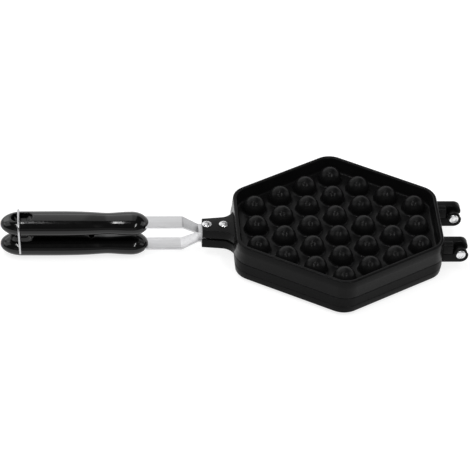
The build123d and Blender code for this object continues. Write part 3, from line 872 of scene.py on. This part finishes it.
def half_width(x):
    """Half width of the handle at a place along it: two oval ends with a smooth grip between."""
    if x <= KNOB_X:
        return KNOB_HALF * math.sqrt(max(0.0, 1 - ((KNOB_X - x) / KNOB_LENGTH) ** 2))
    if x >= BULGE_X:
        return BULGE_HALF * math.sqrt(max(0.0, 1 - ((x - BULGE_X) / NOSE_LENGTH) ** 2))
    index = max(i for i, (station, _) in enumerate(GRIP_STATIONS[:-1]) if station <= x)
    (x0, y0), (x1, y1) = GRIP_STATIONS[index:index + 2]
    run = x1 - x0
    t = (x - x0) / run
    start_slope, end_slope = GRIP_SLOPES[index] * run, GRIP_SLOPES[index + 1] * run
    value = (2 * t ** 3 - 3 * t ** 2 + 1) * y0 + (t ** 3 - 2 * t ** 2 + t) * start_slope
    return value + (3 * t ** 2 - 2 * t ** 3) * y1 + (t ** 3 - t ** 2) * end_slope


def skin_point(x, angle, saddled):
    """Point of the skin at a place along it and an angle round it. The saddle lowers the top of the knob."""
    radius = half_width(x)
    z = HANDLE_Z + radius * OVAL * math.sin(angle)
    if saddled and x < SHOULDER_X:
        reach = SADDLE_RADIUS ** 2 - (x - PIVOT[0]) ** 2
        floor_z = PIVOT[2] + math.sqrt(max(reach, 0.0))
        share = min(1.0, (SHOULDER_X - x) / 0.3)
        z = min(z, z + (floor_z - z) * share) if z > floor_z else z
    return (x, radius * math.cos(angle), z)


# %% the hole's outline and its place on the flat skin
def slot_outline(grow, steps=10):
    """Rounded slot in plan, grown outward."""
    radius = HOLE_HALF_WIDTH + grow
    right_end = arc((HOLE_X + HOLE_HALF_RUN, 0), radius, -90, 90, steps)
    left_end = arc((HOLE_X - HOLE_HALF_RUN, 0), radius, 90, 270, steps)
    sides = 5
    upper = [(HOLE_X + HOLE_HALF_RUN - 2 * HOLE_HALF_RUN * i / sides, radius) for i in range(1, sides)]
    lower = [(HOLE_X - HOLE_HALF_RUN + 2 * HOLE_HALF_RUN * i / sides, -radius) for i in range(1, sides)]
    return right_end + upper + left_end + lower


def round_outline(radius, steps=32):
    """Circle in plan about the handle's screw."""
    return arc((SCREW_X, 0), radius, 0, 360 - 360 / steps, steps - 1)


def skin_angle(x, y, up):
    """Angle round the skin of the point above or below a place in plan."""
    angle = math.acos(max(-1.0, min(1.0, y / half_width(x))))
    return angle if up else 2 * math.pi - angle


def inside_slot(x, y, grow):
    """Whether a place in plan lies in the grown slot."""
    along = max(abs(x - HOLE_X) - HOLE_HALF_RUN, 0.0)
    return math.hypot(along, y) < HOLE_HALF_WIDTH + grow


# %% the skin
from mathutils.geometry import delaunay_2d_cdt

SEAM = math.radians(40)                  # clear of every hole
FLAT_SCALE = 14.0                        # millimetres to a radian on the flat skin


def skin_stations():
    """Places along the handle: close together on the two ends, even along the grip."""
    knob = [KNOB_X - KNOB_LENGTH * math.cos(math.radians(90 * i / 18)) for i in range(19)]
    grip = [KNOB_X + GRIP * i / 42 for i in range(1, 42)]
    nose = [BULGE_X + NOSE_LENGTH * math.sin(math.radians(90 * i / 14)) for i in range(15)]
    return sorted(knob + grip + nose + [SHOULDER_X, SHOULDER_X - 0.15, SHOULDER_X - 0.3])


def handle_skin(saddled):
    """Flat skin with its three hole edges, folded onto the oval. Returns the mesh and the edge loops."""
    round_steps = 72
    angles = [SEAM + 2 * math.pi * i / round_steps for i in range(round_steps + 1)]
    edges_wanted = [
        (slot_outline(HOLE_ROUND), True), (slot_outline(HOLE_ROUND), False), (round_outline(COUNTERBORE + 0.5), False),
    ]
    flat, constraints, loops = [], [], []
    for outline, up in edges_wanted:
        first = len(flat)
        for x, y in outline:
            angle = skin_angle(x, y, up)
            angle += 2 * math.pi if angle < SEAM else 0.0
            flat.append((x, angle * FLAT_SCALE))
        count = len(outline)
        constraints += [(first + i, first + (i + 1) % count) for i in range(count)]
        loops.append(range(first, first + count))

    def in_hole(x, angle, grow):
        y = half_width(x) * math.cos(angle)
        up = math.sin(angle) > 0
        if inside_slot(x, y, HOLE_ROUND + grow):
            return True
        return not up and math.hypot(x - SCREW_X, y) < COUNTERBORE + 0.5 + grow

    for x in skin_stations():
        for angle in angles:
            if not in_hole(x, angle, 0.45):
                flat.append((x, angle * FLAT_SCALE))
    result = delaunay_2d_cdt([Vector(p) for p in flat], constraints, [], 0, 1e-5)
    points, faces, origins = result[0], result[2], result[3]
    bm = bmesh.new()
    verts = [bm.verts.new(skin_point(p.x, p.y / FLAT_SCALE, saddled)) for p in points]
    for face in faces:
        x = sum(points[i].x for i in face) / len(face)
        angle = sum(points[i].y for i in face) / len(face) / FLAT_SCALE
        if not in_hole(x, angle, 0.0):
            bm.faces.new([verts[i] for i in face])
    place_of = {origin: index for index, group in enumerate(origins) for origin in group}
    return bm, [[verts[place_of[i]] for i in loop] for loop in loops]


# %% the hole's rounded edges and wall
def edge_rings(bm, loop, outline_at, radius, up, saddled, steps=5):
    """Loops that turn from the skin down into a hole, starting after the skin's own loop."""
    rings = [loop]
    for step in range(1, steps + 1):
        turn = math.radians(90 * step / steps)
        ring_now = []
        for x, y in outline_at(radius * (1 - math.sin(turn))):
            z = skin_point(x, skin_angle(x, y, up), saddled)[2]
            drop = radius * (1 - math.cos(turn))
            ring_now.append(bm.verts.new((x, y, z - drop if up else z + drop)))
        rings.append(ring_now)
    loft(bm, rings)
    return rings[-1]


def handle(saddled):
    """A whole handle, drawn as the upper one."""
    bm, (top, bottom, bore) = handle_skin(saddled)
    upper_ring = edge_rings(bm, top, slot_outline, HOLE_ROUND, True, saddled)
    lower_ring = edge_rings(bm, bottom, slot_outline, HOLE_ROUND, False, saddled)
    bridge(bm, upper_ring, lower_ring)
    bore_ring = edge_rings(bm, bore, lambda grow: round_outline(COUNTERBORE + grow), 0.5, False, False, 3)
    seat = [add_loop(bm, round_outline(radius), SCREW_SEAT_Z) for radius in (COUNTERBORE, 1.7)]
    loft(bm, [bore_ring] + seat)
    bm.faces.new(seat[-1])
    return bm


make_piece("upper_grip", handle(True), plastic, "upper_half", ["upper_handle"])
lower_grip = handle(False)
lower_grip.transform(Matrix.Scale(-1, 4, (0, 0, 1)))
make_piece("lower_grip", lower_grip, plastic, "lower_half", ["lower_handle"])

# %% [markdown]
# ## Strips and bail
# Both are one section carried along a bent line: a flat bar with broken corners for the strips, a
# round wire for the bail. The bends are true arcs, tangent to the straight runs, as a press brake
# or a wire former leaves them.

# %% a line with rounded bends
def bent_line(corners, radii, steps=7):
    """Points along straight runs joined by arcs, in a plane."""
    points = [corners[0]]
    for before, corner, after, radius in zip(corners, corners[1:], corners[2:], radii):
        into = (Vector(corner) - Vector(before)).normalized()
        out = (Vector(after) - Vector(corner)).normalized()
        turn = into.angle(out)
        side = 1 if into.x * out.y - into.y * out.x > 0 else -1
        begin = Vector(corner) - into * radius * math.tan(turn / 2)
        centre = begin + Vector((-into.y, into.x)) * side * radius
        for step in range(steps + 1):
            angle = side * turn * step / steps
            arm = begin - centre
            points.append((
                centre.x + arm.x * math.cos(angle) - arm.y * math.sin(angle),
                centre.y + arm.x * math.sin(angle) + arm.y * math.cos(angle),
            ))
    points.append(corners[-1])
    return points


def across(points, index):
    """Unit vector square to the line at one of its points, shared by both runs."""
    here = Vector(points[index])
    into = (here - Vector(points[max(index - 1, 0)])).normalized() if index else None
    out = (Vector(points[index + 1]) - here).normalized() if index < len(points) - 1 else None
    mean = ((into or out) + (out or into)).normalized()
    return Vector((-mean.y, mean.x))


# %% strips
STRIP_THICK, STRIP_CORNER = 2.0, 0.45
STRIP_LINE = [(-105.0, 5.25), (-136.8, 5.25), (-152.0, 13.5), (-258.0, 13.5)]
STRIP_WIDE, STRIP_NARROW = 17.0, 13.5


def strip_half_width(x):
    """Half width of the strip: narrow in the lug, wide from the upper bend on."""
    lower_bend, upper_bend = STRIP_LINE[1][0], STRIP_LINE[2][0]
    share = min(1.0, max(0.0, (lower_bend - x) / (lower_bend - upper_bend)))
    return (STRIP_NARROW + (STRIP_WIDE - STRIP_NARROW) * share) / 2


def strip():
    """Bar of even thickness along the bent line, with broken corners, for the upper half."""
    bm = bmesh.new()
    line = bent_line(STRIP_LINE, [4.0, 4.0])
    loops = []
    for index, (x, z) in enumerate(line):
        normal = across(line, index)
        wide, thick = strip_half_width(x), STRIP_THICK / 2
        section = []
        for side, up, first in ((1, 1, 0), (-1, 1, 90), (-1, -1, 180), (1, -1, 270)):
            centre = (side * (wide - STRIP_CORNER), up * (thick - STRIP_CORNER))
            section += arc(centre, STRIP_CORNER, first, first + 90, 3)
        loops.append([bm.verts.new((x + normal.x * rise, out, z + normal.y * rise)) for out, rise in section])
    loft(bm, loops)
    bm.faces.new(loops[0])
    bm.faces.new(loops[-1][::-1])
    return bm


make_piece("upper_shank", strip(), strip_steel, "upper_half", ["upper_strip"])
lower_shank = strip()
lower_shank.transform(Matrix.Scale(-1, 4, (0, 0, 1)))
make_piece("lower_shank", lower_shank, strip_steel, "lower_half", ["lower_strip"])

# %% bail
WIRE_RADIUS = 1.0
LEG_Y, PIN_END_Y, ARCH_HEIGHT, BAIL_LEAN = 16.5, 10.5, 35.0, math.radians(3.1)


def wire_bail():
    """Round wire along the bail's line, with rounded ends, leaning on its pivot."""
    corners = [
        (-PIN_END_Y, 0), (-LEG_Y, 0), (-LEG_Y, ARCH_HEIGHT), (LEG_Y, ARCH_HEIGHT), (LEG_Y, 0), (PIN_END_Y, 0),
    ]
    line = bent_line(corners, [1.8, 12.0, 12.0, 1.8], 10)
    bm = bmesh.new()
    loops = []
    for index, (y, z) in enumerate(line):
        normal = across(line, index)
        section = arc((0, 0), WIRE_RADIUS, 0, 345, 23)
        loops.append([bm.verts.new((out, y + normal.x * rise, z + normal.y * rise)) for out, rise in section])
    loft(bm, loops)
    bm.faces.new(loops[0])
    bm.faces.new(loops[-1][::-1])
    ends = [edge for loop in (loops[0], loops[-1]) for edge in bm.edges if set(edge.verts) <= set(loop)]
    bmesh.ops.bevel(bm, geom=ends, offset=0.4, segments=3, profile=0.5, affect="EDGES")
    bm.transform(Matrix.Translation(PIVOT) @ Matrix.Rotation(-BAIL_LEAN, 4, "Y"))
    return bm


make_piece("wire_bail", wire_bail(), wire_steel, "bail", ["lock_bail"])

# %% [markdown]
# ## Screws, nuts and rivets
# Fasteners of one kind are all the same, so each kind is drawn once and a second node tree copies
# it to the points that it is given. The points are the vertices of a tiny mesh. One turn serves
# all the copies of a call, so the lower half's screws are the same pattern turned over.

# %% the tree that copies a pattern to points
def pattern_on_points():
    """Tree that copies the pattern object to the points of its own mesh."""
    tree, group_in, group_out = new_tree("pattern_on_points", [
        ("Points", "NodeSocketGeometry"), ("Pattern", "NodeSocketObject"), ("Material", "NodeSocketMaterial"),
        ("Turn", "NodeSocketVector"),
    ])
    copies_out(tree, group_in, group_out, group_in.outputs["Points"])
    copies = next(node for node in tree.nodes if node.bl_idname == "GeometryNodeInstanceOnPoints")
    tree.links.new(group_in.outputs["Turn"], copies.inputs["Rotation"])
    return tree


copy_tree = pattern_on_points()


def fasteners(name, pattern, places, turn, material, body, hides):
    """One piece of copies of a pattern, at places in millimetres, turned by angles in degrees."""
    pattern_mesh = bpy.data.meshes.new("pattern")
    pattern.to_mesh(pattern_mesh)
    source = bpy.data.objects.new("pattern", pattern_mesh)
    scene.collection.objects.link(source)
    points = bpy.data.meshes.new("places")
    points.from_pydata(places, [], [])
    copied = run_tree(copy_tree, {
        "Pattern": source, "Material": material, "Turn": [math.radians(angle) for angle in turn],
    }, points)
    bpy.data.objects.remove(source)
    bm = bmesh.new()
    bm.from_mesh(copied)
    return make_piece(name, bm, material, body, hides)


# %% patterns of screws and nuts
def domed_profile(radius, height, edge):
    """Line of a round head, from its outer edge up to its middle."""
    rise = height - edge
    ball = (radius ** 2 + rise ** 2) / (2 * rise)
    start = math.degrees(math.asin(radius / ball))
    corner = [(radius - 0.15, 0.0), (radius, 0.15), (radius, edge - 0.12)]
    return corner + arc((0, height - ball), ball, 90 - start * 0.985, 90, 8)


def cross_screw(head_radius, head_height, edge, shaft_radius, shaft_length):
    """Screw standing on its seat: domed head with a cross recess, and a threaded shaft below."""
    profile = domed_profile(head_radius, head_height, edge)
    pitch = 0.8
    turns = int(shaft_length / pitch)
    threads = [(0.0, -shaft_length), (shaft_radius - 0.5, -shaft_length)]
    for turn in range(turns):
        low = -shaft_length + turn * pitch
        threads += [(shaft_radius - 0.35, low + 0.2 * pitch), (shaft_radius, low + 0.55 * pitch)]
    threads += [(shaft_radius, -0.2), (shaft_radius, 0.0)]
    body = spun([(radius, z) for radius, z in threads + profile])
    bmesh.ops.recalc_face_normals(body, faces=body.faces)
    mesh = bpy.data.meshes.new("screw")
    body.to_mesh(mesh)
    body.free()
    reach, half, depth = 0.56 * head_radius, 0.6 * min(1.0, head_radius / 4.0), 1.1
    floor_share = 0.62
    slots = []
    for turned in (False, True):
        slot = bmesh.new()
        top = [(-reach, -half), (reach, -half), (reach, half), (-reach, half)]
        loops = []
        for z, share in ((head_height + 0.5, 1.0), (head_height - depth, floor_share)):
            outline = [(x * share, y * (1.0 if share == 1.0 else 0.8)) for x, y in top]
            loops.append(add_loop(slot, [(y, x) if turned else (x, y) for x, y in outline], z))
        bridge(slot, loops[0], loops[1])
        slot.faces.new(loops[0])
        slot.faces.new(loops[1][::-1])
        bmesh.ops.recalc_face_normals(slot, faces=slot.faces)
        slots.append(slot)
    bm = bmesh.new()
    bm.from_mesh(cut(mesh, slots))
    return bm


def hexagon_nut(flats, height, bore):
    """Nut with its corners turned down to a cone on both faces, standing on z = 0."""
    bm = bmesh.new()
    around = 72
    flat_radius = flats / 2
    face_radius = 0.95 * flat_radius
    loops = []
    outer = []
    for step in range(around):
        angle = math.radians(360 * step / around)
        from_flat = (360 * step / around + 30) % 60 - 30
        outer.append((angle, flat_radius / math.cos(math.radians(from_flat))))
    for z, kind in ((0.4, "bore"), (0.0, "sink"), (0.0, "face"), (0.0, "hex"), (height, "hex"), (height, "face"),
                    (height, "sink"), (height - 0.4, "bore")):
        loop = []
        for angle, hex_radius in outer:
            radius = {"bore": bore, "sink": bore + 0.35, "face": face_radius, "hex": hex_radius}[kind]
            fall = (hex_radius - face_radius) * math.tan(math.radians(30)) if kind == "hex" else 0.0
            high = z - fall if z > height / 2 else z + fall
            loop.append(bm.verts.new((radius * math.cos(angle), radius * math.sin(angle), high)))
        loops.append(loop)
    loft(bm, loops)
    bridge(bm, loops[-1], loops[0])
    return bm


# %% lug screws, their nuts and the handle screws
SCREW_XS = (LUG_END_X + 4.5, LUG_END_X + 4.5 + 16.65)
NUT_HEIGHT = 2.7
NUT_Z = STRIP_LINE[0][1] - STRIP_THICK / 2 - NUT_HEIGHT
lug_screw = cross_screw(4.7, 2.2, 0.6, 2.5, LUG_HIGH - NUT_Z + 0.3)
lug_nut = hexagon_nut(8.0, NUT_HEIGHT, 2.5)
handle_screw = cross_screw(2.6, 2.0, 0.6, 1.5, 7.8)
for half, sign, turn in (("upper", 1, (0, 0, 0)), ("lower", -1, (180, 0, 0))):
    body = half + "_half"
    fasteners(
        half + "_lug_screws", lug_screw.copy(), [(x, 0, sign * LUG_HIGH) for x in SCREW_XS], turn,
        bright_steel, body, [half + "_lug_screw_outer", half + "_lug_screw_inner"],
    )
    fasteners(
        half + "_lug_nuts", lug_nut.copy(), [(x, 0, sign * NUT_Z) for x in SCREW_XS], turn,
        bright_steel, body, [half + "_lug_nut_outer", half + "_lug_nut_inner"],
    )
    fasteners(
        half + "_grip_screw", handle_screw.copy(), [(SCREW_X, 0, sign * SCREW_SEAT_Z)], (180 + turn[0], 0, 0),
        bright_steel, body, [half + "_handle_screw"],
    )

# %% rivets and washers
LOBE_WIDTH = FRONT_EAR + KNUCKLE + SIDE_GAP + REAR_EAR
WASHER_THICK = 0.8


def hinge_rivet():
    """Rivet lying along its own upright axis: dished head on top, shaft, and the formed end below."""
    head = [(4.65, 0.0), (4.8, 0.15), (4.8, 0.35)] + arc((3.4, 0.35), 1.4, 0, 75, 5)
    head += [(3.2, 1.36), (2.75, 1.28), (2.55, 1.05)] + arc((0, -5.6), 7.0, 70, 90, 5)
    low = -(LOBE_WIDTH + SIDE_GAP + WASHER_THICK)
    tail = [(radius, low - z) for radius, z in domed_profile(4.0, 1.5, 0.4)]
    return spun(tail[::-1] + [(2.5, low), (2.5, 0.0)] + head)


def washer():
    """Flat ring with broken edges, standing on z = 0."""
    inner, outer, edge = 2.52, 5.0, 0.12
    section = [
        (inner, edge), (inner + edge, 0), (outer - edge, 0), (outer, edge),
        (outer, WASHER_THICK - edge), (outer - edge, WASHER_THICK), (inner + edge, WASHER_THICK),
        (inner, WASHER_THICK - edge), (inner, edge),
    ]
    return spun(section)


fasteners(
    "hinge_rivets", hinge_rivet(), [(HINGE_X, start, 0) for start in LOBE_STARTS], (90, 0, 0),
    rivet_steel, "lower_half", ["front_hinge_rivet", "rear_hinge_rivet"],
)
fasteners(
    "rivet_washers", washer(), [(HINGE_X, start + LOBE_WIDTH + SIDE_GAP, 0) for start in LOBE_STARTS], (-90, 0, 0),
    rivet_steel, "lower_half", ["front_rivet_washer", "rear_rivet_washer"],
)
